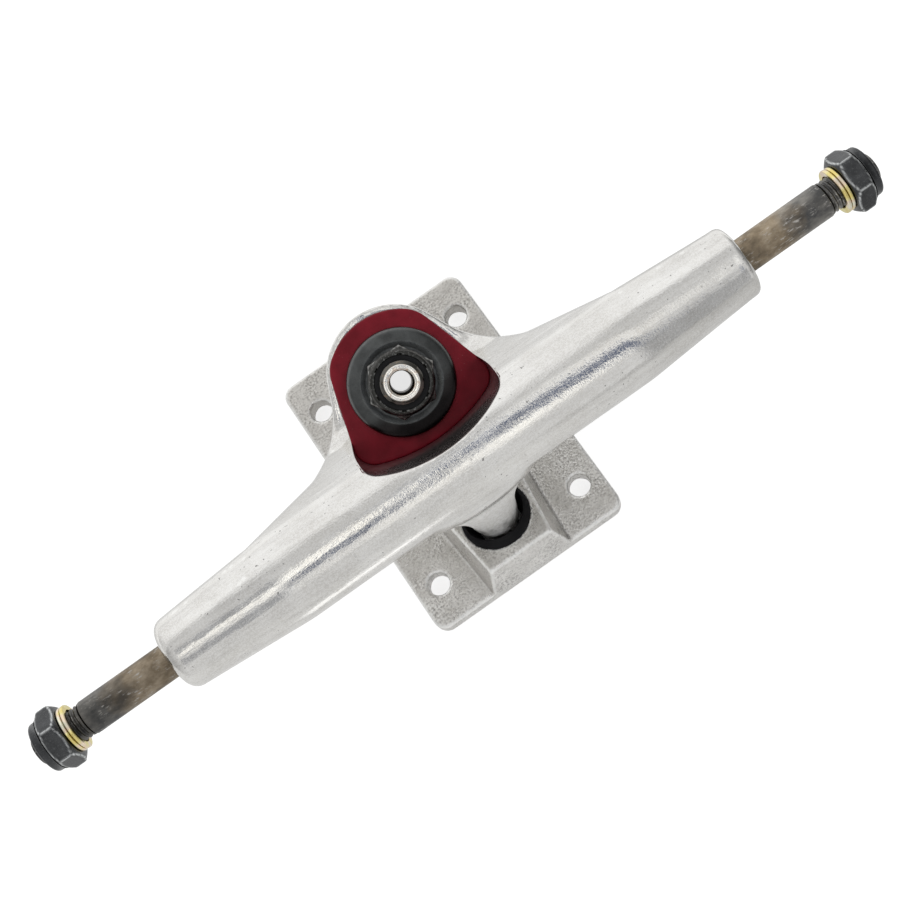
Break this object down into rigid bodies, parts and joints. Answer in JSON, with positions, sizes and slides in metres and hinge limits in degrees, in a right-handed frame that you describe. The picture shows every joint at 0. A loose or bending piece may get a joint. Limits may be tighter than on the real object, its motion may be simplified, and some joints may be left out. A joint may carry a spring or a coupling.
{
  "type": "skateboard truck",
  "caption": "Skateboard truck: cast hanger with axle, steering in urethane bushings on a leaning kingpin over a four-bolt baseplate.",
  "frame": {"origin": "centre of the four deck bolt holes on the face of the baseplate that meets the deck", "axes": "+X along the axle towards the right-hand wheel, +Y from the pivot towards the kingpin, +Z away from the deck"},
  "size_m": [0.216, 0.0746, 0.0641],
  "materials": {
    "cast_aluminium": "raw tumbled casting",
    "plate_aluminium": "raw casting, fine pits",
    "axle_steel": "dark heat-treated",
    "kingpin_steel": "machined",
    "black_steel": "black oxide, satin",
    "zinc_steel": "yellow zinc",
    "red_urethane": "satin",
    "black_urethane": "satin",
    "nylon": "matte"
  },
  "bodies": {
    "baseplate": {"baseplate": "plate_aluminium", "pivot_cup": "black_urethane", "kingpin": "kingpin_steel", "bottom_washer": "black_steel", "bottom_bushing": "red_urethane", "top_bushing": "red_urethane"},
    "hanger": {"hanger": "cast_aluminium", "axle": "axle_steel"},
    "top_washer": {"top_washer": "black_steel"},
    "kingpin_nut": {"kingpin_nut": "black_steel", "kingpin_nut_insert": "nylon"},
    "left_outer_speed_washer": {"left_outer_speed_washer": "zinc_steel"},
    "left_inner_speed_washer": {"left_inner_speed_washer": "zinc_steel"},
    "left_axle_nut": {"left_axle_nut": "black_steel", "left_axle_nut_insert": "nylon"},
    "right_outer_speed_washer": {"right_outer_speed_washer": "zinc_steel"},
    "right_inner_speed_washer": {"right_inner_speed_washer": "zinc_steel"},
    "right_axle_nut": {"right_axle_nut": "black_steel", "right_axle_nut_insert": "nylon"}
  },
  "joints": [
    {"name": "hanger_steer", "type": "hinge", "parent": "baseplate", "child": "hanger", "pos_m": [0, -0.0251, 0.0105], "axis": [0, 0.8743, 0.4854], "range_deg": [-15, 15], "stiffness_Nm_per_rad": 30, "deforming": ["top_bushing", "bottom_bushing"]},
    {"name": "top_washer_travel", "type": "slide", "parent": "baseplate", "child": "top_washer", "axis": [0, -0.3681, 0.9298], "range_m": [-0.001, 0.011], "deforming": ["top_bushing"]},
    {"name": "kingpin_nut_turn", "type": "hinge", "parent": "top_washer", "child": "kingpin_nut", "pos_m": [0, 0.00268, 0.05207], "axis": [0, -0.3681, 0.9298], "range_deg": [-345, 3747]},
    {"name": "left_outer_washer_travel", "type": "slide", "parent": "hanger", "child": "left_outer_speed_washer", "axis": [-1, 0, 0], "range_m": [0, 0.036]},
    {"name": "left_inner_washer_travel", "type": "slide", "parent": "hanger", "child": "left_inner_speed_washer", "axis": [-1, 0, 0], "range_m": [0, 0.037]},
    {"name": "left_axle_nut_turn", "type": "hinge", "parent": "left_outer_speed_washer", "child": "left_axle_nut", "pos_m": [-0.1025, -0.01922, 0.05372], "axis": [-1, 0, 0], "range_deg": [-5, 12251]},
    {"name": "right_outer_washer_travel", "type": "slide", "parent": "hanger", "child": "right_outer_speed_washer", "axis": [1, 0, 0], "range_m": [0, 0.036]},
    {"name": "right_inner_washer_travel", "type": "slide", "parent": "hanger", "child": "right_inner_speed_washer", "axis": [1, 0, 0], "range_m": [0, 0.037]},
    {"name": "right_axle_nut_turn", "type": "hinge", "parent": "right_outer_speed_washer", "child": "right_axle_nut", "pos_m": [0.1025, -0.01922, 0.05372], "axis": [1, 0, 0], "range_deg": [-5, 12251]}
  ],
  "couplings": [
    {"joint": "kingpin_nut_turn", "follows": "top_washer_travel", "rad_per_m": 5936.9},
    {"joint": "left_inner_washer_travel", "follows": "left_outer_washer_travel", "ratio": 1},
    {"joint": "left_axle_nut_turn", "follows": "left_outer_washer_travel", "rad_per_m": 5936.9},
    {"joint": "right_inner_washer_travel", "follows": "right_outer_washer_travel", "ratio": 1},
    {"joint": "right_axle_nut_turn", "follows": "right_outer_washer_travel", "rad_per_m": 5936.9}
  ]
}
